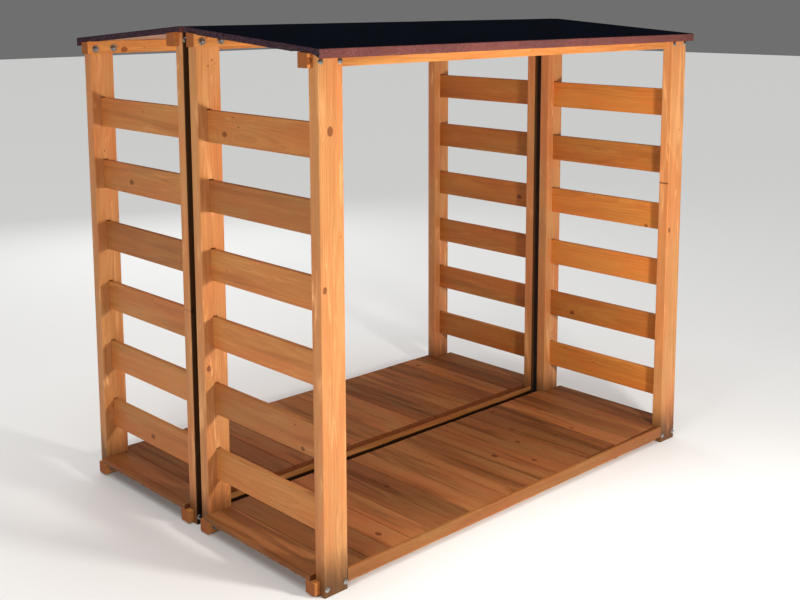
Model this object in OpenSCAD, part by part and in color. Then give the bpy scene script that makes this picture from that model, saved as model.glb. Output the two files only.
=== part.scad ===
// Open log store: two mirrored lean-to bays standing back to back.
// X runs along the store, Y through both bays, Z up. The origin is on the floor under the middle.

/* [Overall] */
// Length over the outer faces of the corner posts
store_l = 1800; // [1200:10:2400]
// Depth of one bay over the outer faces of its posts
bay_d = 631; // [450:1:900]
// Clear gap between the ridge posts of the two bays
bay_gap = 29; // [10:1:80]
// Height of the ridge edge of the felt
ridge_h = 1644; // [1300:1:2000]
// Fall of each roof from ridge to eave, in degrees
roof_pitch = 4.4; // [2:0.1:12]

/* [Posts] */
// Width of a post along the store
post_w = 89; // [70:1:120]
// Thickness of a post through the store
post_t = 42; // [34:1:60]
// Rounding of the long edges of the posts
post_edge_r = 3; // [1:0.5:6]

/* [Rails and bearers] */
// Thickness of the rails and bearers through the store
rail_t = 42; // [30:1:60]
// Height of the roof rails
rail_h = 40; // [30:1:60]
// Height of the floor bearers
bearer_h = 40; // [30:1:60]
// Height of the bearers off the ground
bearer_lift = 5; // [2:1:20]
// Depth of the laps that let the rails and bearers into the posts
lap_d = 21; // [10:1:25]
// Length that the rails and bearers run past the posts at each end
rail_end = 20; // [0:1:60]
// Rounding of the long edges of the rails and bearers
rail_edge_r = 2; // [1:0.5:4]

/* [Side slats] */
// Number of slats in each side
slat_count = 6; // [4:1:6]
// Height of a slat
slat_h = 102; // [60:1:110]
// Thickness of a slat
slat_t = 18; // [12:1:24]
// Height of the underside of the lowest slat
slat_bottom = 172; // [90:1:260]
// Distance from one slat to the next, underside to underside
slat_pitch = 222; // [130:1:230]
// Depth of the slots that hold the slat ends
slot_d = 16; // [8:1:18]
// Clearance over a slat in its slot
slot_top_clear = 3; // [0.5:0.5:6]
// Clearance beside and behind a slat in its slot
slot_side_clear = 0.3; // [0.1:0.1:1]
// Rounding of the long edges of the slats
slat_edge_r = 2; // [1:0.5:4]

/* [Floor] */
// Thickness of the floor boards
floor_t = 17; // [12:1:28]
// Clearance between the ends of the floor boards and the posts
floor_clear = 0.3; // [0.1:0.1:2]
// Height of the fascias between the feet of the posts
fascia_h = 39; // [25:1:45]
// Thickness of the lip that a fascia leaves beside the floor boards
fascia_lip = 10; // [6:1:16]
// Clearance between the ends of a fascia and the posts
fascia_clear = 0.3; // [0.1:0.1:2]

/* [Roof] */
// Thickness of the roof board
board_t = 15; // [9:1:25]
// Thickness of the felt
felt_t = 3; // [1.5:0.5:5]
// Overhang of the roof past the posts at each end
roof_side = 15; // [5:1:80]
// Overhang of the roof past the eave posts
roof_eave = 25; // [5:1:80]
// Length that the felt hangs below the roof board along the ends and the ridge
felt_lip = 3; // [1:0.5:15]
// Length that the felt hangs below the roof board along the eave
eave_lip = 10; // [1:0.5:30]

/* [Hidden] */

post_colour = [0.80, 0.47, 0.25];
slat_colour = [0.72, 0.42, 0.22];
rail_colour = [0.78, 0.44, 0.22];
floor_colour = [0.55, 0.32, 0.18];
board_colour = [0.60, 0.38, 0.22];
felt_colour = [0.03, 0.04, 0.08];

// One bay is drawn with y measured outwards from the middle of the store.
ridge_face = bay_gap / 2;
eave_face = ridge_face + bay_d;
post_x = (store_l - post_w) / 2;
rail_l = store_l + 2 * rail_end;
roof_l = store_l + 2 * roof_side;

// The roof's top surface falls from the ridge edge, and its other layers lie under it.
// The roof board ends flush with the outer faces of the ridge posts.
ridge_edge = ridge_face - felt_t;
eave_edge = eave_face + roof_eave;
function roof_top(y) = ridge_h - (y - ridge_edge) * tan(roof_pitch);
function board_top(y) = roof_top(y) - felt_t / cos(roof_pitch);
function roof_under(y) = board_top(y) - board_t / cos(roof_pitch);

// The rails are let in from the inner faces of the posts.
eave_rail_y = eave_face - post_t + lap_d - rail_t;
ridge_rail_y = ridge_face + post_t - lap_d;
eave_rail_z = roof_under(eave_rail_y + rail_t) - rail_h;
ridge_rail_z = roof_under(ridge_rail_y + rail_t) - rail_h;
floor_z = bearer_lift + bearer_h;

// A fascia fills the depth that the laps leave in front of the bearers.
fascia_t = post_t - lap_d;

// A slat spans between the inner faces of its posts and reaches into both slots.
slat_y = ridge_face + post_t - slot_d + slot_side_clear;
slat_l = bay_d - 2 * (post_t - slot_d + slot_side_clear);

cut = 1;
edge_steps = 4;

function corner_arc(x, y, r, start) =
    [for (i = [0 : edge_steps])
        [x + r * cos(start + 90 * i / edge_steps), y + r * sin(start + 90 * i / edge_steps)]];

// Section of a planed timber, a by b, with its corner at the origin
module planed_section(a, b, r) {
    polygon(concat(corner_arc(a - r, b - r, r, 0), corner_arc(r, b - r, r, 90),
                   corner_arc(r, r, r, 180), corner_arc(a - r, r, r, 270)));
}

// Timber lying along X, centred on it
module timber_x(l, d, h, r) {
    along_x(l)
        planed_section(d, h, r);
}

// Timber lying along Y from y = 0, centred on X
module timber_y(l, w, h, r) {
    translate([-w / 2, l, 0])
        rotate([90, 0, 0])
            linear_extrude(height = l)
                planed_section(w, h, r);
}

// A section in y and z, run along X and centred on it
module along_x(l) {
    translate([-l / 2, 0, 0])
        rotate([90, 0, 90])
            linear_extrude(height = l)
                children();
}

// Everything above the underside of the roof
module above_roof() {
    far = 2 * eave_edge;
    along_x(2 * store_l)
        polygon([[0, roof_under(0)], [far, roof_under(far)],
                 [far, 2 * ridge_h], [0, 2 * ridge_h]]);
}

// Space under the roof that a rail with its inner edge at y keeps free of felt
module rail_space(y) {
    along_x(2 * store_l)
        polygon([[y, 0], [y + rail_t, 0],
                 [y + rail_t, roof_under(y + rail_t)], [y, roof_under(y)]]);
}

// Space that one rail or bearer takes, from its inner face to past the post's inner face
module lap_cut(y, z, h) {
    translate([-post_w, y, z])
        cube([2 * post_w, rail_t, h]);
}

// Slots for the slat ends, cut into the post face at y and running the way of side
module slat_slots(y, side) {
    slot_w = slat_t + 2 * slot_side_clear;
    for (i = [0 : slat_count - 1])
        translate([-slot_w / 2, side > 0 ? y - cut : y - slot_d, slat_bottom + i * slat_pitch])
            cube([slot_w, slot_d + cut, slat_h + slot_top_clear]);
}

module eave_post() {
    color(post_colour)
        difference() {
            translate([-post_w / 2, eave_face - post_t, 0])
                linear_extrude(height = ridge_h)
                    planed_section(post_w, post_t, post_edge_r);
            above_roof();
            lap_cut(eave_rail_y, eave_rail_z, ridge_h);
            lap_cut(eave_rail_y, bearer_lift, bearer_h);
            slat_slots(eave_face - post_t, 1);
        }
}

module ridge_post() {
    color(post_colour)
        difference() {
            translate([-post_w / 2, ridge_face, 0])
                linear_extrude(height = ridge_h)
                    planed_section(post_w, post_t, post_edge_r);
            above_roof();
            lap_cut(ridge_rail_y, ridge_rail_z, ridge_h);
            lap_cut(ridge_rail_y, bearer_lift, bearer_h);
            slat_slots(ridge_face + post_t, -1);
        }
}

module side_slats() {
    color(slat_colour)
        for (i = [0 : slat_count - 1])
            translate([0, slat_y, slat_bottom + i * slat_pitch])
                timber_y(slat_l, slat_t, slat_h, slat_edge_r);
}

// Rail under the roof, with its top bevelled to the slope
module roof_rail(y, z) {
    color(rail_colour)
        difference() {
            translate([0, y, z])
                timber_x(rail_l, rail_t, rail_h + post_t, rail_edge_r);
            above_roof();
        }
}

module bearer(y) {
    color(rail_colour)
        translate([0, y, bearer_lift])
            timber_x(rail_l, rail_t, bearer_h, rail_edge_r);
}

// Strip between the feet of the posts, flush with their outer faces and the floor.
// It starts at y, and is rebated from rebate_y for the floor boards.
module fascia(y, rebate_y) {
    color(rail_colour)
        difference() {
            translate([0, y, floor_z + floor_t - fascia_h])
                timber_x(store_l - 2 * (post_w + fascia_clear), fascia_t, fascia_h, rail_edge_r);
            translate([-store_l / 2, rebate_y, floor_z])
                cube([store_l, fascia_t, fascia_h]);
        }
}

// Floor boards, drawn as one plate. It fills the space between the inner faces of the posts,
// and its middle runs between the posts from y_in to y_out.
module bay_floor(y_in, y_out) {
    post_in = ridge_face + post_t + floor_clear;
    post_out = eave_face - post_t - floor_clear;
    middle_l = store_l - 2 * (post_w + floor_clear);
    color(floor_colour) {
        translate([-rail_l / 2, post_in, floor_z])
            cube([rail_l, post_out - post_in, floor_t]);
        translate([-middle_l / 2, y_in, floor_z])
            cube([middle_l, y_out - y_in, floor_t]);
    }
}

// Roof board, under the felt
module roof_board() {
    y_in = ridge_face;
    y_out = eave_edge - felt_t;
    color(board_colour)
        along_x(roof_l - 2 * felt_t)
            polygon([[y_in, roof_under(y_in)], [y_out, roof_under(y_out)],
                     [y_out, board_top(y_out)], [y_in, board_top(y_in)]]);
}

// Felt over the top of the board, turned down along all four edges
module roof_felt() {
    y_in = ridge_face;
    y_out = eave_edge - felt_t;
    eave_z = roof_under(y_out) - eave_lip;
    color(felt_colour)
        difference() {
            along_x(roof_l)
                polygon([[ridge_edge, roof_top(ridge_edge)], [eave_edge, roof_top(eave_edge)],
                         [eave_edge, eave_z], [y_out, eave_z],
                         [y_out, roof_under(y_out) - felt_lip],
                         [ridge_edge, roof_under(ridge_edge) - felt_lip]]);
            along_x(roof_l - 2 * felt_t)
                polygon([[y_in, board_top(y_in)], [y_out, board_top(y_out)],
                         [y_out, 0], [y_in, 0]]);
            for (y = [eave_rail_y, ridge_rail_y])
                rail_space(y);
        }
}

module front_bay() { mirror([0, 1, 0]) children(); }
module left_end() { translate([-post_x, 0, 0]) children(); }
module right_end() { translate([post_x, 0, 0]) children(); }

front_bay() left_end() eave_post();  // front_left_eave_post
front_bay() left_end() ridge_post();  // front_left_ridge_post
front_bay() right_end() eave_post();  // front_right_eave_post
front_bay() right_end() ridge_post();  // front_right_ridge_post
left_end() eave_post();  // rear_left_eave_post
left_end() ridge_post();  // rear_left_ridge_post
right_end() eave_post();  // rear_right_eave_post
right_end() ridge_post();  // rear_right_ridge_post
front_bay() left_end() side_slats();  // front_left_slats
front_bay() right_end() side_slats();  // front_right_slats
left_end() side_slats();  // rear_left_slats
right_end() side_slats();  // rear_right_slats
front_bay() roof_rail(eave_rail_y, eave_rail_z);  // front_eave_rail
front_bay() roof_rail(ridge_rail_y, ridge_rail_z);  // front_ridge_rail
roof_rail(eave_rail_y, eave_rail_z);  // rear_eave_rail
roof_rail(ridge_rail_y, ridge_rail_z);  // rear_ridge_rail
front_bay() bearer(eave_rail_y);  // front_eave_bearer
front_bay() bearer(ridge_rail_y);  // front_ridge_bearer
bearer(eave_rail_y);  // rear_eave_bearer
bearer(ridge_rail_y);  // rear_ridge_bearer
front_bay() fascia(eave_face - fascia_t, eave_face - fascia_lip - fascia_t);  // front_eave_fascia
fascia(ridge_face, ridge_face + fascia_lip);  // rear_ridge_fascia
front_bay() bay_floor(ridge_rail_y, eave_face - fascia_lip);  // front_floor
bay_floor(ridge_face + post_t + floor_clear, eave_face);  // rear_floor
front_bay() roof_board();  // front_roof_board
roof_board();  // rear_roof_board
front_bay() roof_felt();  // front_roof_felt
roof_felt();  // rear_roof_felt
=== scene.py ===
"""Stained timber log store with two back-to-back bays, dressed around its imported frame."""
import math
import random
from collections import namedtuple

import bmesh
import bpy
from bpy.props import FloatProperty, FloatVectorProperty, IntProperty, PointerProperty
from mathutils import Matrix, Vector, noise


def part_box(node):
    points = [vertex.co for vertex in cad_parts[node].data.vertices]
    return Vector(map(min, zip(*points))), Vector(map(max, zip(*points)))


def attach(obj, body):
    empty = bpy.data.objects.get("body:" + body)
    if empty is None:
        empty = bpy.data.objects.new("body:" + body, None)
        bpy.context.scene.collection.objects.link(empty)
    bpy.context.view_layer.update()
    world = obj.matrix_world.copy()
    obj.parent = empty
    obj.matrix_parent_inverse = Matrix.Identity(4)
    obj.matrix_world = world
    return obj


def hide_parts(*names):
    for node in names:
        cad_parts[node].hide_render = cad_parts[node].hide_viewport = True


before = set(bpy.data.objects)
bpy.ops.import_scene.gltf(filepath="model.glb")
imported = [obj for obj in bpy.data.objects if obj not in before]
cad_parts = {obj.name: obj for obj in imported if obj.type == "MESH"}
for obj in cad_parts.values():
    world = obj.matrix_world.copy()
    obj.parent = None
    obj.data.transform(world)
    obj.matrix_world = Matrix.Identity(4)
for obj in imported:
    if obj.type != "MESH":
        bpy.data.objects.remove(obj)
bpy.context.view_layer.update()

bl_info = {
    "name": "Log store",
    "version": (1, 0, 0),
    "blender": (4, 5, 0),
    "location": "3D View > Sidebar > Log store",
    "description": "Boards, felt, bolts and stained timber for a double log store",
    "category": "Object",
}

BODY = "root"
BAYS = {"front": -1.0, "rear": 1.0}
ENDS = ("left", "right")
ROWS = ("eave", "ridge")
X, Y, Z = 0, 1, 2

# Height over which a post gets darker towards its bottom, and depth of the painted shade on the faces in
# the gap between the bays
FOOT_HEIGHT = 0.17
GAP_SHADE_DEPTH = 0.0004
# Height up to which the fascia in the gap between the bays is painted black as shade
FASCIA_SHADE_HEIGHT = 0.047
# Share of the rails' stain that the fascias keep
FASCIA_TONE = 0.54
SLAT_COUNT = 6
SLAT_HEIGHT = 0.102
# Clearance between the floor boards and the posts
BOARD_CLEARANCE = 0.0004
# The front bay's boards past this share of the floor stop short of the fascia by a length between these
SHORT_BOARDS_FROM = 0.7
SHORT_BOARDS_BY = (0.006, 0.015)
# How far the rear bay's boards are set back from the ridge posts
REAR_SET_BACK = 0.004
# Places of the two nails over the width of a board
NAIL_PLACES = (0.24, 0.76)
# Height of the bolts over the underside of what they hold
BOLT_HEIGHT = {"rail": 0.0185, "bearer": 0.020}
# Length that the felt hangs below the roof boards at the ends and the ridge, its room beside a rail,
# and how much shorter it is there
FELT_HANG = 0.0028
FELT_RAIL_ROOM = 0.012
FELT_RAIL_TUCK = 0.0034
FELT_FOLD_STEPS = 4
# Waves of the felt's surface for each metre
FELT_WAVES = 5.0
FELT_FINE_WAVES = 19.0


# ---------------------------------------------------------------- settings

class StainSettings(bpy.types.PropertyGroup):
    """Colours and grain of the stained softwood"""
    post_stain: FloatVectorProperty(
        name="Post stain", description="Colour of the stain on the posts",
        default=(0.57, 0.240, 0.090), subtype="COLOR", min=0.0, max=1.0)
    slat_stain: FloatVectorProperty(
        name="Slat stain", description="Colour of the stain on the side slats",
        default=(0.46, 0.18, 0.055), subtype="COLOR", min=0.0, max=1.0)
    # A more orange copy of the slat stain for the right-hand ends, with painted warm bounce light in it
    right_slat_stain_and_bounce: FloatVectorProperty(
        name="Right slat stain", description="Colour of the stain on the slats of the right-hand ends",
        default=(0.56, 0.195, 0.042), subtype="COLOR", min=0.0, max=1.0)
    rail_stain: FloatVectorProperty(
        name="Rail stain", description="Colour of the stain on rails, bearers and fascias",
        default=(0.60, 0.235, 0.07), subtype="COLOR", min=0.0, max=1.0)
    floor_stain: FloatVectorProperty(
        name="Floor stain", description="Colour of the stain on the floor boards",
        default=(0.30, 0.115, 0.042), subtype="COLOR", min=0.0, max=1.0)
    roof_stain: FloatVectorProperty(
        name="Roof board stain", description="Colour of the stain under the roof",
        default=(0.42, 0.18, 0.07), subtype="COLOR", min=0.0, max=1.0)
    ring_width: FloatProperty(
        name="Ring width", description="Width of one growth ring",
        default=0.0042, min=0.001, max=0.02, unit="LENGTH")
    knot_radius: FloatProperty(
        name="Knot radius", description="Radius of the largest knots",
        default=0.011, min=0.002, max=0.03, unit="LENGTH")


class BoardSettings(bpy.types.PropertyGroup):
    """Sizes of the floor boards and roof boards"""
    count: IntProperty(
        name="Boards in a bay", description="Number of boards side by side in one bay",
        default=20, min=8, max=40)
    joint: FloatProperty(
        name="Joint", description="Mean width of the joint between two boards",
        default=0.0017, min=0.0002, max=0.006, unit="LENGTH")
    edge: FloatProperty(
        name="Edge rounding", description="Rounding of the long edges of a board",
        default=0.0013, min=0.0002, max=0.004, unit="LENGTH")
    nail_head: FloatProperty(
        name="Nail head", description="Diameter of a nail head in a floor board",
        default=0.0036, min=0.002, max=0.010, unit="LENGTH")


class BoltSettings(bpy.types.PropertyGroup):
    """Sizes of the coach bolts, washers and nuts"""
    head_diameter: FloatProperty(
        name="Head diameter", description="Diameter of the domed bolt head",
        default=0.0175, min=0.008, max=0.03, unit="LENGTH")
    head_height: FloatProperty(
        name="Head height", description="Height of the domed bolt head",
        default=0.0046, min=0.002, max=0.010, unit="LENGTH")
    washer_diameter: FloatProperty(
        name="Washer diameter", description="Diameter of the washer under a nut",
        default=0.025, min=0.012, max=0.04, unit="LENGTH")
    washer_thickness: FloatProperty(
        name="Washer thickness", description="Thickness of the washer under a nut",
        default=0.0018, min=0.001, max=0.004, unit="LENGTH")
    nut_width: FloatProperty(
        name="Nut width", description="Width across the flats of the nut",
        default=0.013, min=0.006, max=0.02, unit="LENGTH")
    nut_height: FloatProperty(
        name="Nut height", description="Height of the nut",
        default=0.0065, min=0.003, max=0.012, unit="LENGTH")
    thread_diameter: FloatProperty(
        name="Thread diameter", description="Diameter of the bolt's thread",
        default=0.008, min=0.004, max=0.012, unit="LENGTH")
    edge_distance: FloatProperty(
        name="Edge distance", description="Distance of a bolt from the edge of the post",
        default=0.0095, min=0.006, max=0.03, unit="LENGTH")


class FeltSettings(bpy.types.PropertyGroup):
    """Colours and shape of the roofing felt"""
    top_colour: FloatVectorProperty(
        name="Felt colour", description="Colour of the felt on the roof",
        default=(0.0010, 0.0019, 0.0055), subtype="COLOR", min=0.0, max=1.0)
    lip_colour: FloatVectorProperty(
        name="Edge colour", description="Colour of the felt where it is turned down",
        default=(0.160, 0.050, 0.043), subtype="COLOR", min=0.0, max=1.0)
    end_colour: FloatVectorProperty(
        name="End colour", description="Colour of the felt where it is turned down at the ends",
        default=(0.034, 0.018, 0.028), subtype="COLOR", min=0.0, max=1.0)
    thickness: FloatProperty(
        name="Thickness", description="Thickness of the felt",
        default=0.0028, min=0.001, max=0.004, unit="LENGTH")
    bend: FloatProperty(
        name="Bend", description="Radius of the bend over the edge of the roof boards",
        default=0.0035, min=0.001, max=0.008, unit="LENGTH")
    wave: FloatProperty(
        name="Waviness", description="Largest rise and fall of the felt",
        default=0.0009, min=0.0, max=0.004, unit="LENGTH")


class StageSettings(bpy.types.PropertyGroup):
    """Camera, lights and floor of the studio"""
    camera_place: FloatVectorProperty(
        name="Camera place", description="Position of the camera",
        default=(-2.876, -3.050, 1.721), subtype="TRANSLATION", unit="LENGTH")
    camera_turn: FloatProperty(
        name="Camera turn", description="Direction of view, turned from +Y towards +X",
        default=math.radians(43.505), subtype="ANGLE")
    camera_tilt: FloatProperty(
        name="Camera tilt", description="Downward tilt of the view",
        default=math.radians(8.285), subtype="ANGLE")
    camera_roll: FloatProperty(
        name="Camera roll", description="Roll of the camera about its own axis",
        default=math.radians(-0.18), subtype="ANGLE")
    focal_length: FloatProperty(
        name="Focal length", description="Focal length on a 36 mm wide sensor",
        default=51.42, min=10.0, max=200.0)
    rise: FloatProperty(
        name="Vertical shift", description="Vertical shift of the lens, in frame widths",
        default=-0.1667, min=-0.3, max=0.3)
    key_power: FloatProperty(
        name="Key light", description="Power of the light in front of the store",
        default=46.0, min=0.0, subtype="POWER")
    side_power: FloatProperty(
        name="Side light", description="Power of the light to the left of the store",
        default=66.0, min=0.0, subtype="POWER")
    back_power: FloatProperty(
        name="Back light", description="Power of the soft light behind the store",
        default=45.0, min=0.0, subtype="POWER")
    top_strength: FloatProperty(
        name="Top light", description="Strength of the wide light over the store",
        default=1.9, min=0.0)
    sky: FloatProperty(
        name="Surroundings", description="Strength of the even light from all round",
        default=0.16, min=0.0, max=5.0)
    floor_colour: FloatVectorProperty(
        name="Floor colour", description="Colour of the studio floor",
        default=(0.80, 0.80, 0.79), subtype="COLOR", min=0.0, max=1.0)


# ---------------------------------------------------------------- shader nodes

class Graph:
    """The nodes of one material, added and linked one at a time."""

    def __init__(self, name):
        self.material = bpy.data.materials.new(name)
        self.material.use_nodes = True
        self.tree = self.material.node_tree
        self.tree.nodes.clear()
        self.shader = self.add("ShaderNodeBsdfPrincipled")
        output = self.add("ShaderNodeOutputMaterial")
        self.tree.links.new(self.shader.outputs[0], output.inputs[0])

    def add(self, kind, **settings):
        node = self.tree.nodes.new(kind)
        for key, value in settings.items():
            setattr(node, key, value)
        return node

    def feed(self, socket, value):
        if isinstance(value, bpy.types.NodeSocket):
            self.tree.links.new(value, socket)
        elif socket.type == "RGBA" and len(value) == 3:
            socket.default_value = (*value, 1.0)
        else:
            socket.default_value = value

    def math(self, operation, *values, clamp=False):
        node = self.add("ShaderNodeMath", operation=operation, use_clamp=clamp)
        for socket, value in zip(node.inputs, values):
            self.feed(socket, value)
        return node.outputs[0]

    def vector(self, x, y, z=0.0):
        node = self.add("ShaderNodeCombineXYZ")
        for socket, value in zip(node.inputs, (x, y, z)):
            self.feed(socket, value)
        return node.outputs[0]

    def split(self, vector):
        node = self.add("ShaderNodeSeparateXYZ")
        self.feed(node.inputs[0], vector)
        return list(node.outputs)

    def noise(self, vector, scale, detail=3.0, roughness=0.55, distortion=0.0):
        node = self.add("ShaderNodeTexNoise")
        self.feed(node.inputs["Vector"], vector)
        node.inputs["Scale"].default_value = scale
        node.inputs["Detail"].default_value = detail
        node.inputs["Roughness"].default_value = roughness
        node.inputs["Distortion"].default_value = distortion
        return node.outputs["Fac"]

    def stretched(self, spot, changes, detail=3.0, roughness=0.55, distortion=0.0):
        """Noise with its own rate of change along, across and through a timber."""
        scaled = [self.math("MULTIPLY", item, change) for item, change in zip(spot, changes)]
        return self.noise(self.vector(*scaled), 1.0, detail, roughness, distortion)

    def ramp(self, value, low, high, out_low=0.0, out_high=1.0):
        node = self.add("ShaderNodeMapRange", interpolation_type="SMOOTHSTEP")
        for socket, item in zip(node.inputs, (value, low, high, out_low, out_high)):
            self.feed(socket, item)
        return node.outputs[0]

    def mix(self, factor, a, b, blend="MIX"):
        node = self.add("ShaderNodeMix", data_type="RGBA", blend_type=blend)
        self.feed(node.inputs[0], factor)
        self.feed(node.inputs[6], a)
        self.feed(node.inputs[7], b)
        return node.outputs[2]

    def bump(self, height, strength, distance):
        node = self.add("ShaderNodeBump")
        node.inputs["Strength"].default_value = strength
        node.inputs["Distance"].default_value = distance
        self.feed(node.inputs["Height"], height)
        self.feed(self.shader.inputs["Normal"], node.outputs[0])


def times(colour, factor):
    """A colour made lighter or darker."""
    return tuple(min(1.0, c * factor) for c in colour)


def tinted(colour, red, green, blue):
    """A colour with each channel scaled by a factor of its own."""
    return tuple(min(1.0, c * factor) for c, factor in zip(colour, (red, green, blue)))


# Rates of change of the wood's noises, for each metre along, across and through the timber
PITH_DRIFT = (0.9, 3.0, 3.0)
RIPPLE = (6.0, 26.0, 26.0)
FIBRE = (9.0, 420.0, 420.0)
STREAK = (2.2, 60.0, 60.0)
BLOTCH = (2.6, 9.0, 9.0)
THIN_STAIN = (5.0, 46.0, 20.0)
FLAME = (2.4, 17.0, 17.0)
DARK_BAND = (1.7, 22.0, 22.0)

# Length and width of the cells that hold one knot at most
KNOT_CELL = (0.34, 0.13)
PIN_KNOT_CELL = (0.12, 0.045)
PIN_KNOT_SHARE = 0.42
PIN_KNOT_SIZE = 0.26


def knot_cells(g, spot, cell, chance, largest):
    """Knots, one at most in each cell of the face: distance over radius, radius, core and swirl."""
    u, v = spot[:2]
    cell_u, cell_v = cell
    cells = g.add("ShaderNodeTexVoronoi", voronoi_dimensions="2D")
    g.feed(cells.inputs["Vector"], g.vector(g.math("DIVIDE", u, cell_u), g.math("DIVIDE", v, cell_v)))
    cells.inputs["Scale"].default_value = 1.0
    knot = g.split(cells.outputs["Position"])
    luck = g.split(cells.outputs["Color"])
    du = g.math("SUBTRACT", u, g.math("MULTIPLY", knot[0], cell_u))
    dv = g.math("SUBTRACT", v, g.math("MULTIPLY", knot[1], cell_v))
    reach = g.math("SQRT", g.math("ADD", g.math("POWER", g.math("MULTIPLY", du, 0.72), 2.0),
                                  g.math("POWER", dv, 2.0)))
    present = g.math("LESS_THAN", luck[0], chance)
    radius = g.math("MULTIPLY_ADD", g.math("POWER", luck[1], 2.0), largest * 0.75, largest * 0.25)
    radius = g.math("MAXIMUM", g.math("MULTIPLY", radius, present), 0.0001)
    ratio = g.math("DIVIDE", reach, radius)
    wobble = g.noise(g.vector(*spot), 260.0, 2.0)
    ragged = g.math("ADD", ratio, g.math("MULTIPLY", wobble, 0.5))
    core = g.math("MULTIPLY", g.math("SUBTRACT", 1.0, g.ramp(ragged, 0.95, 1.35)), present)
    fade = g.math("EXPONENT", g.math("MULTIPLY", g.math("POWER", ratio, 2.0), -0.16))
    return ratio, radius, core, g.math("MULTIPLY", fade, present)


def timber_place(g, place, along, wide, centre, rows, draw):
    """Place along, across and through a timber, with the place of its pith and its tone.

    Each board of a row gets a stretch of wood, a pith and a tone of its own.
    """
    thick = X + Y + Z - along - wide
    u = g.math("SUBTRACT", place[along], centre[along])
    v = g.math("SUBTRACT", place[wide], centre[wide])
    w = g.math("SUBTRACT", place[thick], centre[thick])
    u = g.math("ADD", u, draw.uniform(3.0, 60.0))
    tone = draw.uniform(0.35, 0.65)
    pith_v = draw.uniform(-0.03, 0.03)
    pith_w = draw.choice((-1, 1)) * draw.uniform(0.045, 0.08)
    if rows:
        axis, start, pitch, count = rows
        step = g.math("DIVIDE", g.math("SUBTRACT", place[axis], start), pitch)
        number = g.math("MINIMUM", g.math("MAXIMUM", g.math("FLOOR", step), -1.0), float(count))
        if axis == wide:
            v = g.math("MULTIPLY", g.math("SUBTRACT", g.math("SUBTRACT", step, number), 0.5), pitch)
        chance = g.add("ShaderNodeTexWhiteNoise", noise_dimensions="1D")
        g.feed(chance.inputs["W"], g.math("ADD", number, draw.uniform(1.0, 90.0)))
        shift = g.split(chance.outputs["Color"])
        u = g.math("MULTIPLY_ADD", shift[0], 37.0, u)
        pith_v = g.math("MULTIPLY_ADD", g.math("SUBTRACT", shift[1], 0.5), 0.09, pith_v)
        pith_w = g.math("MULTIPLY_ADD", shift[2], 0.03, pith_w)
        tone = shift[1]
    return (u, v, w), (pith_v, pith_w), tone


def late_wood(g, spot, pith, ripple, radius, swirl, ring_width):
    """Dark part of each growth ring, round a pith line that wanders and bends round the knots."""
    drift = g.stretched(spot, PITH_DRIFT, 2.0)
    ring = g.math("SQRT", g.math("ADD", g.math("POWER", g.math("SUBTRACT", spot[1], pith[0]), 2.0),
                                 g.math("POWER", g.math("SUBTRACT", spot[2], pith[1]), 2.0)))
    ring = g.math("MULTIPLY_ADD", drift, 0.045, ring)
    ring = g.math("MULTIPLY_ADD", ripple, 0.004, ring)
    ring = g.math("MULTIPLY_ADD", swirl, g.math("MULTIPLY", radius, 1.1), ring)
    year = g.math("FRACT", g.math("DIVIDE", ring, ring_width))
    return g.math("MULTIPLY", g.ramp(year, 0.30, 0.86), g.math("SUBTRACT", 1.0, g.ramp(year, 0.90, 1.0)))


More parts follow.
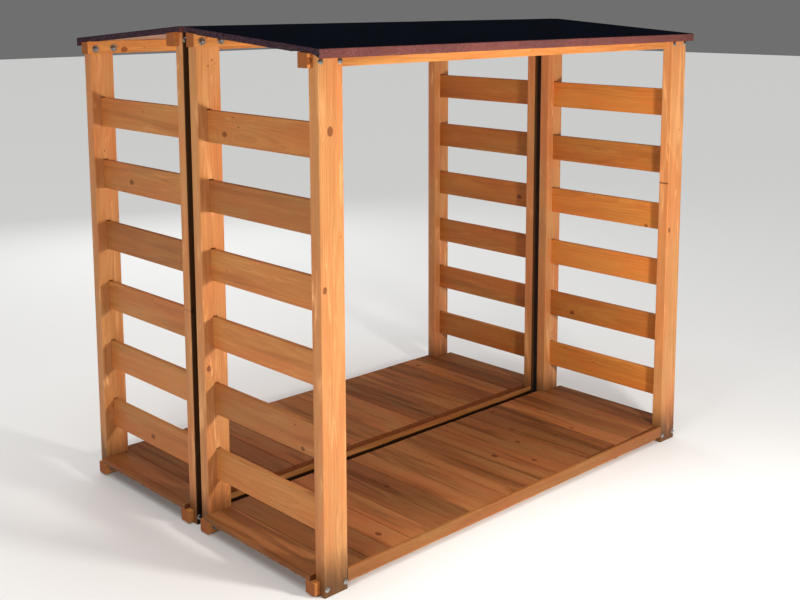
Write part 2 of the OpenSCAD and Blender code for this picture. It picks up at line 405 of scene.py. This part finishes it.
def softwood(name, stain, along, wide, centre, seed, rows=None, knots=0.5, pale=0.5, wear=0.0,
             foot=0.0, gap_shade=0.0, fascia_shade=0.0, gloss=0.22):
    """Stained softwood with growth rings, knots and fibres that run along one axis.

    rows is (axis, start, pitch, count) where one mesh holds a row of boards with a look of their own.
    wear darkens boards in broad streaks, and foot is the height over which a post gets darker towards its
    bottom.
    Two more settings paint shade into the gap between the bays: how far from the middle of the store the
    faces of a ridge post are darkened, and the height up to which a fascia there is painted black.
    """
    settings = bpy.context.scene.log_store_stain
    g = Graph(name)
    place = g.split(g.add("ShaderNodeTexCoord").outputs["Object"])
    spot, pith, tone = timber_place(g, place, along, wide, centre, rows, random.Random(seed))
    ratio, radius, core, swirl = knot_cells(g, spot, KNOT_CELL, knots, settings.knot_radius)
    pin = knot_cells(g, spot, PIN_KNOT_CELL, knots * PIN_KNOT_SHARE,
                     settings.knot_radius * PIN_KNOT_SIZE)[2]
    ripple = g.stretched(spot, RIPPLE, 2.0)
    fibre = g.stretched(spot, FIBRE, 3.0, 0.65)
    thin = g.stretched(spot, THIN_STAIN, 4.0, 0.6, 0.6)
    flame = g.stretched(spot, FLAME, 3.0, 0.5, 1.1)
    late = late_wood(g, spot, pith, ripple, radius, swirl, settings.ring_width)

    dark = tinted(stain, 0.72, 0.60, 0.48)
    red = tinted(stain, 0.98, 0.82, 0.72)
    bare = tinted(stain, 1.45, 1.75, 1.9)
    rim = tinted(stain, 0.16, 0.11, 0.12)
    colour = g.mix(g.ramp(g.stretched(spot, BLOTCH), 0.36, 0.64), tinted(stain, 0.93, 1.04, 0.98), red)
    colour = g.mix(g.math("MULTIPLY", late, 0.42), colour, dark)
    colour = g.mix(g.ramp(g.stretched(spot, STREAK), 0.42, 0.78, 0.0, 0.55), colour, dark)
    colour = g.mix(g.ramp(fibre, 0.45, 0.80, 0.0, 0.45), colour, times(stain, 1.16))
    colour = g.mix(g.ramp(thin, 0.60, 0.72, 0.0, pale), colour, bare)
    colour = g.mix(g.ramp(flame, 0.57, 0.74, 0.0, pale * 0.75), colour, bare)
    band = g.stretched(spot, DARK_BAND, 4.0, 0.6, 0.5)
    colour = g.mix(g.ramp(band, 0.46, 0.66, 0.0, 0.18 + 0.55 * wear), colour, times(dark, 0.55))

    # Knots have a red halo, a dark heart and a darker rim, and pin knots are all rim.
    colour = g.mix(g.math("MULTIPLY", swirl, 0.28), colour, red)
    colour = g.mix(g.math("MULTIPLY", core, 0.85), colour, tinted(stain, 0.34, 0.24, 0.20))
    rim_mask = g.math("MULTIPLY", g.math("MULTIPLY", g.ramp(ratio, 0.60, 0.85), core), 0.7)
    colour = g.mix(rim_mask, colour, rim)
    colour = g.mix(g.math("MULTIPLY", pin, 0.80), colour, rim)

    dimming = g.ramp(tone, 0.0, 1.0, 0.84 - 0.16 * wear, 1.12 + 0.16 * wear)
    # Darker towards the bottom of a post, below a ragged line.
    if foot:
        level = g.math("MULTIPLY_ADD", g.math("SUBTRACT", thin, 0.5), foot, place[Z])
        dimming = g.math("MULTIPLY", dimming, g.ramp(level, foot * 0.1, foot, 0.28, 1.0))
    # Painted shade: the faces of a ridge post in the narrow gap between the bays are darkened to an
    # eighth.
    if gap_shade:
        depth = g.math("ABSOLUTE", place[Y])
        dimming = g.math("MULTIPLY", dimming, g.ramp(depth, gap_shade, gap_shade + 0.003, 0.12, 1.0))
    # Painted shade: a fascia in the gap between the bays is black below a ragged line.
    if fascia_shade:
        level = g.math("MULTIPLY_ADD", g.math("SUBTRACT", ripple, 0.5), 0.008, place[Z])
        dimming = g.math("MULTIPLY", dimming, g.ramp(level, fascia_shade - 0.002, fascia_shade + 0.003, 0.05, 1.0))
    colour = g.mix(1.0, colour, g.vector(dimming, dimming, dimming), "MULTIPLY")

    # Sawn ends soak up more stain.
    across = g.split(g.add("ShaderNodeTexCoord").outputs["Normal"])[along]
    end = g.ramp(g.math("ABSOLUTE", across), 0.55, 0.85)
    end_grain = g.mix(g.math("MULTIPLY", late, 0.5), tinted(stain, 0.50, 0.40, 0.36),
                      tinted(stain, 0.26, 0.18, 0.16))
    g.feed(g.shader.inputs["Base Color"], g.mix(end, colour, end_grain))
    sheen = g.math("MULTIPLY_ADD", late, -0.06, g.math("MULTIPLY_ADD", fibre, 0.16, 0.40))
    g.feed(g.shader.inputs["Roughness"], g.math("MULTIPLY_ADD", end, 0.25, sheen, clamp=True))
    g.shader.inputs["Specular IOR Level"].default_value = gloss
    relief = g.math("MULTIPLY_ADD", late, 0.55, g.math("MULTIPLY", fibre, 0.55))
    g.bump(g.math("MULTIPLY_ADD", core, 0.4, relief), 0.35, 0.0006)
    return g.material


# Colours in the felt besides its own: dust, the gain of a mineral fleck, and the pits between the grit
FELT_DUST = (0.022, 0.018, 0.022)
FELT_FLECK = (0.22, 0.13, 0.12)
FELT_PIT = (0.004, 0.004, 0.006)


def roofing_felt(name):
    """Bitumen felt with fine mineral grit, of another colour where it is turned down over the edges."""
    settings = bpy.context.scene.log_store_felt
    g = Graph(name)
    where = g.add("ShaderNodeTexCoord")
    grit = g.noise(where.outputs["Object"], 900.0, 2.0, 0.7)
    cloud = g.noise(where.outputs["Object"], 7.0, 4.0, 0.6)
    flakes = g.add("ShaderNodeTexVoronoi")
    g.feed(flakes.inputs["Vector"], where.outputs["Object"])
    flakes.inputs["Scale"].default_value = 620.0
    speck = g.split(flakes.outputs["Color"])[0]
    up = g.split(where.outputs["Normal"])[Z]
    lip = g.math("SUBTRACT", 1.0, g.ramp(up, 0.35, 0.92))
    under = g.ramp(up, -0.9, -0.5, 0.35, 1.0)
    across = g.ramp(g.math("ABSOLUTE", g.split(where.outputs["Normal"])[X]), 0.4, 0.8)
    top, side = settings.top_colour, g.mix(across, tuple(settings.lip_colour), tuple(settings.end_colour))
    colour = g.mix(lip, tuple(top), side)
    worn = g.mix(lip, times(top, 2.2), FELT_DUST)
    colour = g.mix(g.ramp(cloud, 0.35, 0.70, 0.0, 0.35), colour, worn)
    fleck = g.mix(lip, times(top, 3.0), g.mix(1.0, side, FELT_FLECK, "ADD"))
    colour = g.mix(g.ramp(speck, 0.70, 0.98, 0.0, 0.55), colour, fleck)
    colour = g.mix(g.ramp(grit, 0.35, 0.55, 0.45, 0.0), colour, FELT_PIT)
    colour = g.mix(1.0, colour, g.vector(under, under, under), "MULTIPLY")
    g.feed(g.shader.inputs["Base Color"], colour)
    g.feed(g.shader.inputs["Roughness"], g.math("MULTIPLY_ADD", speck, -0.20, 0.92))
    g.shader.inputs["Specular IOR Level"].default_value = 0.01
    g.bump(g.math("MULTIPLY_ADD", speck, 0.6, grit), 0.55, 0.0009)
    return g.material


ZINC_BRIGHT = (0.66, 0.66, 0.64)
ZINC_CLOUDED = (0.46, 0.46, 0.45)
ZINC_SPOT = (0.26, 0.21, 0.15)
ZINC_DIRT = (0.10, 0.06, 0.04)


def zinc_steel(name, dull=0.0):
    """Zinc plate with a faint bloom and brown spots. dull soils and roughens it, fully at a quarter."""
    g = Graph(name)
    where = g.add("ShaderNodeTexCoord")
    bloom = g.noise(where.outputs["Object"], 160.0, 4.0, 0.6)
    stain = g.noise(where.outputs["Object"], 45.0, 3.0)
    colour = g.mix(g.ramp(bloom, 0.35, 0.70), ZINC_BRIGHT, ZINC_CLOUDED)
    colour = g.mix(g.ramp(stain, 0.56, 0.74, 0.0, 0.55), colour, ZINC_SPOT)
    g.feed(g.shader.inputs["Base Color"], g.mix(min(1.0, dull * 4.0), colour, ZINC_DIRT))
    g.shader.inputs["Metallic"].default_value = 1.0
    g.feed(g.shader.inputs["Roughness"], g.ramp(bloom, 0.2, 0.8, 0.22 + dull, 0.42 + dull))
    g.bump(bloom, 0.25, 0.0002)
    return g.material


# ---------------------------------------------------------------- mesh helpers

def finish_piece(name, mesh, material, slot, *nodes):
    """Turns a bmesh into a piece that rides on the store and stands for the given nodes."""
    data = bpy.data.meshes.new(name)
    mesh.to_mesh(data)
    mesh.free()
    piece = bpy.data.objects.new(name, data)
    bpy.context.scene.collection.objects.link(piece)
    data.materials.append(material)
    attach(piece, BODY)
    if nodes:
        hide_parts(*nodes)
    return piece


# How uneven a board is: waves a metre, rise and fall, sideways sway, and lean over its width
BOARD_WAVES = 6.0
BOARD_RISE = 0.00035
BOARD_SWAY = 0.00025
BOARD_LEAN = 0.0003
BOARD_CUTS = 5


def long_edges(mesh):
    """The edges that run along a board."""
    return [e for e in mesh.edges if abs((e.verts[1].co - e.verts[0].co).normalized().y) > 0.9]


def add_board(mesh, low, high, edge, draw, fall=None):
    """A board from corner to corner with rounded long edges, very slightly uneven along its length."""
    size = high - low
    part = bmesh.new()
    bmesh.ops.create_cube(part, size=1.0, matrix=Matrix.Translation((low + high) / 2)
                          @ Matrix.Diagonal((*size, 1.0)))
    bmesh.ops.bevel(part, geom=long_edges(part), offset=edge, offset_type="OFFSET", affect="EDGES",
                    segments=3, profile=0.5, material=-1)
    bmesh.ops.subdivide_edges(part, edges=long_edges(part), cuts=BOARD_CUTS, use_grid_fill=False)
    phase, lean = draw.uniform(0.0, 50.0), draw.uniform(-BOARD_LEAN, BOARD_LEAN)
    middle = (low + high) / 2
    for vert in part.verts:
        run = vert.co.y * BOARD_WAVES + phase
        vert.co.z += BOARD_RISE * noise.noise(Vector((run, phase, 0.0))) - BOARD_RISE
        vert.co.z += lean * (vert.co.x - middle.x) / size.x
        vert.co.x += BOARD_SWAY * noise.noise(Vector((run, 0.0, phase)))
        if fall:
            vert.co.z += fall(vert.co.y)
    join(mesh, part)


def add_turned(mesh, profile, steps, place):
    """A round part turned about its axis. The profile is a list of radius and height."""
    part = bmesh.new()
    verts = [part.verts.new((r, 0.0, h)) for r, h in profile]
    edges = [part.edges.new(pair) for pair in zip(verts, verts[1:])]
    bmesh.ops.spin(part, geom=verts + edges, cent=(0, 0, 0), axis=(0, 0, 1), angle=2 * math.pi,
                   steps=steps, use_merge=True, use_duplicate=False)
    bmesh.ops.remove_doubles(part, verts=part.verts, dist=0.00001)
    bmesh.ops.recalc_face_normals(part, faces=part.faces)
    bmesh.ops.transform(part, matrix=place, verts=part.verts)
    join(mesh, part)


def join(mesh, part):
    """Adds a part to a mesh, and frees the part."""
    data = bpy.data.meshes.new("part")
    part.to_mesh(data)
    part.free()
    mesh.from_mesh(data)
    bpy.data.meshes.remove(data)


def add_nut(mesh, width, height, place):
    """A hexagon nut with chamfered corners."""
    part = bmesh.new()
    corner = width / math.sqrt(3)
    bmesh.ops.create_cone(part, cap_ends=True, segments=6, radius1=corner, radius2=corner,
                          depth=height, matrix=Matrix.Translation((0, 0, height / 2)))
    ends = [e for e in part.edges if abs(e.verts[0].co.z - e.verts[1].co.z) < 1e-6]
    bmesh.ops.bevel(part, geom=ends, offset=width * 0.05, offset_type="OFFSET", affect="EDGES",
                    segments=2, profile=0.5, material=-1)
    bmesh.ops.transform(part, matrix=place, verts=part.verts)
    join(mesh, part)


def shade(piece, angle=40.0):
    """Smooth faces with the corners kept sharp."""
    piece.data.shade_smooth()
    piece.data.set_sharp_from_angle(angle=math.radians(angle))


def node_centre(node):
    """The middle of a CAD node's box."""
    low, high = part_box(node)
    return (low + high) / 2


def dress(node, material):
    """Gives a CAD node its material."""
    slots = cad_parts[node].material_slots
    if not slots:
        raise RuntimeError(f"{node} has no material slot")
    for slot in slots:
        slot.material = material
    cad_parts[node].data.shade_flat()


# ---------------------------------------------------------------- operators

class LOGSTORE_OT_posts(bpy.types.Operator):
    """Stain the eight posts, each with a grain of its own"""
    bl_idname = "log_store.posts"
    bl_label = "Posts"

    def execute(self, context):
        stain = tuple(context.scene.log_store_stain.post_stain)
        seed = 11
        for bay in BAYS:
            for end in ENDS:
                for row in ROWS:
                    node = f"{bay}_{end}_{row}_post"
                    gap_face = min(abs(corner.y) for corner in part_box(node))
                    # The ridge posts get painted shade on their faces in the gap between the bays.
                    gap_shade = gap_face + GAP_SHADE_DEPTH if row == "ridge" else 0.0
                    dress(node, softwood(f"{node}_timber", stain, Z, X, node_centre(node), seed,
                                         pale=0.80, foot=FOOT_HEIGHT, gap_shade=gap_shade))
                    seed += 7
        return {"FINISHED"}


class LOGSTORE_OT_slats(bpy.types.Operator):
    """Stain the slatted ends, slat by slat"""
    bl_idname = "log_store.slats"
    bl_label = "Slats"

    def execute(self, context):
        stains = context.scene.log_store_stain
        seed = 211
        for bay in BAYS:
            for end in ENDS:
                node = f"{bay}_{end}_slats"
                low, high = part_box(node)
                pitch = (high.z - low.z - SLAT_HEIGHT) / (SLAT_COUNT - 1)
                rows = (Z, low.z - (pitch - SLAT_HEIGHT) / 2, pitch, SLAT_COUNT)
                # The right-hand slats get the more orange stain, which paints in warm light bounced
                # between the stained parts.
                stain = tuple(stains.right_slat_stain_and_bounce if end == "right" else stains.slat_stain)
                dress(node, softwood(f"{node}_timber", stain, Y, Z, node_centre(node), seed,
                                     rows=rows, knots=0.62, pale=0.25, wear=0.25))
                seed += 7
        return {"FINISHED"}


class LOGSTORE_OT_rails(bpy.types.Operator):
    """Stain the roof rails, the floor bearers and the fascias"""
    bl_idname = "log_store.rails"
    bl_label = "Rails, bearers and fascias"

    def execute(self, context):
        stain = tuple(context.scene.log_store_stain.rail_stain)
        seed = 411
        for bay in BAYS:
            for row in ROWS:
                for part in ("rail", "bearer", "fascia"):
                    node = f"{bay}_{row}_{part}"
                    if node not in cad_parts:
                        continue
                    colour = times(stain, FASCIA_TONE) if part == "fascia" else stain
                    # The rear ridge fascia, in the gap between the bays, gets painted shade up to a
                    # height.
                    fascia_shade = FASCIA_SHADE_HEIGHT if node == "rear_ridge_fascia" else 0.0
                    dress(node, softwood(f"{node}_timber", colour, X, Z, node_centre(node), seed,
                                         knots=0.6, pale=0.35, wear=0.35, fascia_shade=fascia_shade))
                    seed += 7
        return {"FINISHED"}


class LOGSTORE_OT_floors(bpy.types.Operator):
    """Lay the floor boards of both bays and nail them to the bearers"""
    bl_idname = "log_store.floors"
    bl_label = "Floor boards"

    def execute(self, context):
        boards = context.scene.log_store_boards
        stain = tuple(context.scene.log_store_stain.floor_stain)
        steel = zinc_steel("nail_steel", 0.15)
        for bay, side in BAYS.items():
            draw = random.Random(83 if side < 0 else 89)
            node = f"{bay}_floor"
            low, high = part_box(node)
            near_post, far_post = sorted((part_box(f"{bay}_left_{row}_post") for row in ROWS),
                                         key=lambda box: box[0].y)
            between = near_post[1].y + BOARD_CLEARANCE, far_post[0].y - BOARD_CLEARANCE
            inside = near_post[1].x
            field = boards.count - 2
            pitch = -2 * inside / field
            mesh, nails = bmesh.new(), bmesh.new()
            for i in range(-1, field + 1):
                gap = boards.joint * draw.uniform(0.4, 1.6) / 2
                left = low.x + BOARD_CLEARANCE if i < 0 else inside + i * pitch + gap
                right = high.x - BOARD_CLEARANCE if i == field else inside + (i + 1) * pitch - gap
                if i < 0 or i == field:
                    near, far = between
                else:
                    near, far = low.y, high.y
                    if bay == "rear":
                        near += REAR_SET_BACK
                    elif i > field * SHORT_BOARDS_FROM:
                        near += draw.uniform(*SHORT_BOARDS_BY)
                    left += BOARD_CLEARANCE if i == 0 else 0.0
                    right -= BOARD_CLEARANCE if i == field - 1 else 0.0
                near += draw.uniform(0.0004, 0.0016)
                far -= draw.uniform(0.0, 0.0014)
                top = high.z - draw.uniform(0.0, 0.0007)
                add_board(mesh, Vector((left, near, low.z)), Vector((right, far, top)), boards.edge, draw)
                self.nail_down(nails, bay, left, right, top, boards.nail_head / 2, draw)
            wood = softwood(f"{node}_boards_timber", stain, Y, X, (low + high) / 2,
                            601 if side < 0 else 607, rows=(X, inside, pitch, field),
                            knots=0.45, pale=0.16, wear=1.0, gloss=0.10)
            shade(finish_piece(f"{bay}_floor_boards", mesh, wood, "floor_wood", node))
            shade(finish_piece(f"{bay}_floor_nails", nails, steel, "bolt_steel"))
        return {"FINISHED"}

    def nail_down(self, nails, bay, left, right, top, r, draw):
        """Two nails through a board into each bearer."""
        profile = [(0.0, 0.0004), (r * 0.7, 0.00035), (r, 0.0001), (r, -0.001), (0.0, -0.001)]
        for row in ROWS:
            middle = node_centre(f"{bay}_{row}_bearer").y
            for share in NAIL_PLACES:
                x = left + (right - left) * (share + draw.uniform(-0.04, 0.04))
                y = middle + draw.uniform(-0.004, 0.004)
                add_turned(nails, profile, 12, Matrix.Translation((x, y, top - 0.0005)))


class LOGSTORE_OT_roof_boards(bpy.types.Operator):
    """Lay the roof boards of both bays on their rails"""
    bl_idname = "log_store.roof_boards"
    bl_label = "Roof boards"

    def execute(self, context):
        boards = context.scene.log_store_boards
        stain = tuple(context.scene.log_store_stain.roof_stain)
        for bay, side in BAYS.items():
            draw = random.Random(97 if bay == "front" else 101)
            node = f"{bay}_roof_board"
            low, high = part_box(node)
            fall, thickness = roof_slope(node)
            inner = min(abs(low.y), abs(high.y))
            pitch = (high.x - low.x) / boards.count
            mesh = bmesh.new()
            for i in range(boards.count):
                gap = boards.joint * draw.uniform(0.3, 0.8) / 2
                left = low.x + i * pitch + (gap if i else 0.0)
                right = low.x + (i + 1) * pitch - (gap if i + 1 < boards.count else 0.0)
                add_board(mesh, Vector((left, low.y, 0.0)), Vector((right, high.y, thickness)),
                          boards.edge, draw, lambda y: high.z - thickness - fall * (abs(y) - inner))
            wood = softwood(f"{node}_boards_timber", stain, Y, X, (low + high) / 2,
                            701 if side < 0 else 707, rows=(X, low.x, pitch, boards.count),
                            knots=0.4, pale=0.15)
            shade(finish_piece(f"{bay}_roof_boards", mesh, wood, "board_wood", node))
        return {"FINISHED"}


# One bay's roof: its side, inner and outer edges in y, reach in x, top of the ridge edge, fall,
# lengths of felt turned down at the ends and the eave, and where its rails lie in y
Roof = namedtuple("Roof", "side inner outer reach top fall end_lip eave_lip rails")


def roof_slope(node):
    """Fall of a roof board for each metre outwards, and its upright thickness."""
    points = [v.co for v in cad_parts[node].data.vertices]
    inner = min(abs(p.y) for p in points)
    outer = max(abs(p.y) for p in points)
    tops = {y: max(p.z for p in points if abs(abs(p.y) - y) < 1e-4) for y in (inner, outer)}
    base = min(p.z for p in points if abs(abs(p.y) - inner) < 1e-4)
    return (tops[inner] - tops[outer]) / (outer - inner), tops[inner] - base


class LOGSTORE_OT_felt(bpy.types.Operator):
    """Cover both roofs with felt, turned down over all edges"""
    bl_idname = "log_store.felt"
    bl_label = "Roofing felt"

    def execute(self, context):
        for bay, side in BAYS.items():
            shade(self.cover(bay, side, context.scene.log_store_felt), 50.0)
        return {"FINISHED"}

    def cover(self, bay, side, settings):
        """A sheet that is folded down round its rim, bent over the edges and given its thickness."""
        node = f"{bay}_roof_felt"
        low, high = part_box(node)
        fall, board_t = roof_slope(f"{bay}_roof_board")
        inner, outer = sorted((abs(low.y), abs(high.y)))
        eave_lip = (high.z - fall * (outer - inner)) - low.z
        end_lip = board_t + settings.thickness + FELT_HANG
        rails = [sorted(abs(corner.y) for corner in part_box(f"{bay}_{row}_rail")) for row in ROWS]
        roof = Roof(side, inner, outer, high.x, high.z, fall, end_lip, eave_lip, rails)
        mesh = bmesh.new()
        bmesh.ops.create_grid(mesh, x_segments=92, y_segments=33, size=1.0)
        for vert in mesh.verts:
            vert.co.x *= roof.reach
            vert.co.y = inner + (outer - inner) * (vert.co.y + 1) / 2
            vert.co.z = 0.0
        rim = [e for e in mesh.edges if e.is_boundary]
        for step in range(FELT_FOLD_STEPS):
            made = bmesh.ops.extrude_edge_only(mesh, edges=rim)["geom"]
            rim = [e for e in made if isinstance(e, bmesh.types.BMEdge)
                   and all(v in made for v in e.verts) and e.is_boundary]
            for vert in {v for e in rim for v in e.verts}:
                vert.co.z = -(step + 1) / FELT_FOLD_STEPS
        for vert in mesh.verts:
            self.shape(vert, roof, settings.wave)
        bmesh.ops.recalc_face_normals(mesh, faces=mesh.faces)
        mesh.normal_update()
        bends = [e for e in mesh.edges if self.is_bend(e)]
        bmesh.ops.bevel(mesh, geom=bends, offset=settings.bend, offset_type="OFFSET", affect="EDGES",
                        segments=3, profile=0.5, material=-1)
        bmesh.ops.recalc_face_normals(mesh, faces=mesh.faces)
        mesh.normal_update()
        if sum(f.normal.z * f.calc_area() for f in mesh.faces) < 0:
            bmesh.ops.reverse_faces(mesh, faces=mesh.faces)
        felt = roofing_felt(f"{bay}_mineral_felt")
        piece = finish_piece(f"{bay}_felt_cover", mesh, felt, "roof_felt", node)
        wall = piece.modifiers.new("felt thickness", "SOLIDIFY")
        wall.thickness = settings.thickness
        wall.offset = -1.0
        return piece

    def shape(self, vert, roof, wave):
        """Moves a point of the sheet to its place. Its z is how far down the folded rim it lies."""
        x, y, depth = vert.co.x, vert.co.y, -vert.co.z
        at_end = abs(abs(x) - roof.reach) < 1e-5
        at_eave = abs(y - roof.outer) < 1e-5
        lip = roof.eave_lip if at_eave else roof.end_lip
        by_rail = any(near - FELT_RAIL_ROOM < y < far + FELT_RAIL_ROOM for near, far in roof.rails)
        if at_end and not at_eave and by_rail:
            lip -= FELT_RAIL_TUCK
        z = roof.top - roof.fall * (y - roof.inner) - depth * lip
        ripple = noise.noise(Vector((x * FELT_WAVES, y * FELT_WAVES * roof.side, 3.0)))
        fine = noise.noise(Vector((x * FELT_FINE_WAVES, y * FELT_FINE_WAVES * roof.side, 9.0)))
        if depth == 0.0 and not (at_end or at_eave):
            z -= wave * (0.5 + 0.5 * ripple) + 0.0003 * (0.5 + 0.5 * fine)
        elif depth > 0.0:
            inward = wave * 0.6 * depth * (0.5 + 0.5 * ripple) + 0.0004 * (1 + fine)
            if at_end:
                x -= math.copysign(inward, x)
            if at_eave:
                y -= inward
            z += 0.0012 * depth * (0.5 + 0.5 * fine)
        vert.co = Vector((x, y * roof.side, z))

    def is_bend(self, edge):
        """Whether the sheet turns through more than about 65 degrees at an edge."""
        if not edge.is_manifold:
            return False
        a, b = edge.link_faces
        return abs(a.normal.dot(b.normal)) < 0.4


class LOGSTORE_OT_bolts(bpy.types.Operator):
    """Fit two coach bolts with washers and nuts at every joint of post and rail or bearer"""
    bl_idname = "log_store.bolts"
    bl_label = "Coach bolts"

    def execute(self, context):
        s = context.scene.log_store_bolts
        steel = zinc_steel("bolt_zinc", 0.07)
        r, h = s.head_diameter / 2, s.head_height
        dome = [(0.0, -0.002), (r * 0.9, -0.002), (r, 0.0), (r, h * 0.16)]
        dome += [(r * math.cos(a), h * (0.16 + 0.84 * math.sin(a)))
                 for a in (math.radians(9 * i) for i in range(1, 10))] + [(0.0, h)]
        for bay, side in BAYS.items():
            draw = random.Random(131 if bay == "front" else 137)
            mesh = bmesh.new()
            for end in ENDS:
                for row in ROWS:
                    post_low, post_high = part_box(f"{bay}_{end}_{row}_post")
                    outward = side if row == "eave" else -side
                    face = post_high.y if outward > 0 else post_low.y
                    for part in ("rail", "bearer"):
                        low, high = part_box(f"{bay}_{row}_{part}")
                        z = low.z + BOLT_HEIGHT[part]
                        back = low.y if outward > 0 else high.y
                        for x in (post_low.x + s.edge_distance, post_high.x - s.edge_distance):
                            spot = Vector((x, 0.0, z + draw.uniform(-0.001, 0.001)))
                            self.fit(mesh, s, dome, spot, face, back, outward, draw)
            shade(finish_piece(f"{bay}_coach_bolts", mesh, steel, "bolt_steel"), 35.0)
        return {"FINISHED"}

    def fit(self, mesh, s, dome, spot, face, back, outward, draw):
        """One bolt: its head on the post's face, and washer, nut and thread behind what it holds."""
        out = Matrix.Rotation(-math.pi / 2 * outward, 4, "X")
        inwards = Matrix.Rotation(math.pi / 2 * outward, 4, "X")
        add_turned(mesh, dome, 24, Matrix.Translation((spot.x, face, spot.z)) @ out)
        seat = Matrix.Translation((spot.x, back, spot.z)) @ inwards
        w, t, r = s.washer_diameter / 2, s.washer_thickness, s.thread_diameter / 2
        soft = 0.0003
        add_turned(mesh, [(r, 0.0), (w - soft, 0.0), (w, soft), (w, t - soft), (w - soft, t), (r, t),
                          (r, 0.0)], 28, seat)
        turn = Matrix.Rotation(draw.uniform(0, math.pi), 4, "Z")
        add_nut(mesh, s.nut_width, s.nut_height, seat @ Matrix.Translation((0, 0, t)) @ turn)
        tip, turns = 0.001, 5
        start, end = t + s.nut_height - tip, t + s.nut_height + 0.005
        pitch = (end - start - tip) / turns
        thread = [(0.0, start)]
        for i in range(turns):
            z = start + pitch * i
            thread += [(r * 0.86, z), (r * 0.97, z + pitch / 2)]
        thread += [(r * 0.86, end - tip), (r * 0.72, end), (0.0, end)]
        add_turned(mesh, thread, 16, seat)


class LOGSTORE_OT_stage(bpy.types.Operator):
    """Set up the pale floor, the soft lights and the camera"""
    bl_idname = "log_store.stage"
    bl_label = "Studio"

    def execute(self, context):
        scene, s = context.scene, context.scene.log_store_stage
        mesh = bmesh.new()
        bmesh.ops.create_grid(mesh, x_segments=1, y_segments=1, size=30.0)
        data = bpy.data.meshes.new("studio_floor")
        mesh.to_mesh(data)
        mesh.free()
        ground = bpy.data.objects.new("studio_floor", data)
        scene.collection.objects.link(ground)
        paint = bpy.data.materials.new("studio_floor_paint")
        paint.use_nodes = True
        shader = paint.node_tree.nodes["Principled BSDF"]
        shader.inputs["Base Color"].default_value = (*s.floor_colour, 1.0)
        shader.inputs["Roughness"].default_value = 0.85
        data.materials.append(paint)

        lamps = (
            ("key_light", (-0.10, -2.15, 1.0), (-0.1, 0.0, 0.95), 0.24, s.key_power, (1.0, 0.97, 0.92)),
            ("side_light", (-4.3, -1.5, 1.5), (0.0, 0.0, 0.85), 1.0, s.side_power, (1.0, 0.98, 0.95)),
            ("back_light", (1.6, 4.2, 2.6), (0.0, 0.0, 0.8), 2.6, s.back_power, (1.0, 1.0, 1.0)),
        )
        for lamp in lamps:
            self.light(scene, *lamp)
        above = bpy.data.lights.new("top_light", "SUN")
        above.energy = s.top_strength
        above.angle = math.radians(70.0)
        scene.collection.objects.link(bpy.data.objects.new("top_light", above))

        world = bpy.data.worlds.new("studio")
        world.use_nodes = True
        background = world.node_tree.nodes["Background"]
        background.inputs["Color"].default_value = (1.0, 1.0, 1.0, 1.0)
        background.inputs["Strength"].default_value = s.sky
        scene.world = world
        scene.view_settings.view_transform = "Standard"

        data = bpy.data.cameras.new("camera")
        data.sensor_width = 36.0
        data.lens = s.focal_length
        data.shift_y = s.rise
        camera = bpy.data.objects.new("camera", data)
        turn = Matrix.Rotation(-s.camera_turn, 4, "Z")
        tilt = Matrix.Rotation(math.pi / 2 - s.camera_tilt, 4, "X")
        roll = Matrix.Rotation(s.camera_roll, 4, "Z")
        camera.matrix_world = Matrix.Translation(s.camera_place) @ turn @ tilt @ roll
        scene.collection.objects.link(camera)
        scene.camera = camera
        return {"FINISHED"}

    def light(self, scene, name, place, target, size, power, colour):
        """A square soft light that the camera doesn't see."""
        data = bpy.data.lights.new(name, "AREA")
        data.shape = "SQUARE"
        data.size = size
        data.energy = power
        data.color = colour
        lamp = bpy.data.objects.new(name, data)
        lamp.location = place
        lamp.rotation_euler = (Vector(target) - Vector(place)).to_track_quat("-Z", "Y").to_euler()
        lamp.visible_camera = False
        lamp.visible_glossy = False
        scene.collection.objects.link(lamp)


class LOGSTORE_PT_panel(bpy.types.Panel):
    """Lists the sizes, the colours and the steps of the log store"""
    bl_idname = "LOGSTORE_PT_panel"
    bl_label = "Log store"
    bl_space_type = "VIEW_3D"
    bl_region_type = "UI"
    bl_category = "Log store"

    def draw(self, context):
        for name in SETTINGS:
            box = self.layout.box()
            group = getattr(context.scene, name)
            for key in group.bl_rna.properties.keys():
                if key not in ("rna_type", "name"):
                    box.prop(group, key)
        for operator in OPERATORS:
            self.layout.operator(operator.bl_idname)


SETTINGS = {
    "log_store_stain": StainSettings,
    "log_store_boards": BoardSettings,
    "log_store_bolts": BoltSettings,
    "log_store_felt": FeltSettings,
    "log_store_stage": StageSettings,
}
OPERATORS = (
    LOGSTORE_OT_posts,
    LOGSTORE_OT_slats,
    LOGSTORE_OT_rails,
    LOGSTORE_OT_floors,
    LOGSTORE_OT_roof_boards,
    LOGSTORE_OT_felt,
    LOGSTORE_OT_bolts,
    LOGSTORE_OT_stage,
)


def register():
    for item in (*SETTINGS.values(), *OPERATORS, LOGSTORE_PT_panel):
        bpy.utils.register_class(item)
    for name, group in SETTINGS.items():
        setattr(bpy.types.Scene, name, PointerProperty(type=group))


def unregister():
    for name in SETTINGS:
        delattr(bpy.types.Scene, name)
    for item in (LOGSTORE_PT_panel, *reversed(OPERATORS), *reversed(SETTINGS.values())):
        bpy.utils.unregister_class(item)


def main():
    register()
    bpy.ops.log_store.posts()
    bpy.ops.log_store.slats()
    bpy.ops.log_store.rails()
    bpy.ops.log_store.floors()
    bpy.ops.log_store.roof_boards()
    bpy.ops.log_store.felt()
    bpy.ops.log_store.bolts()
    bpy.ops.log_store.stage()


if __name__ == "__main__":
    main()
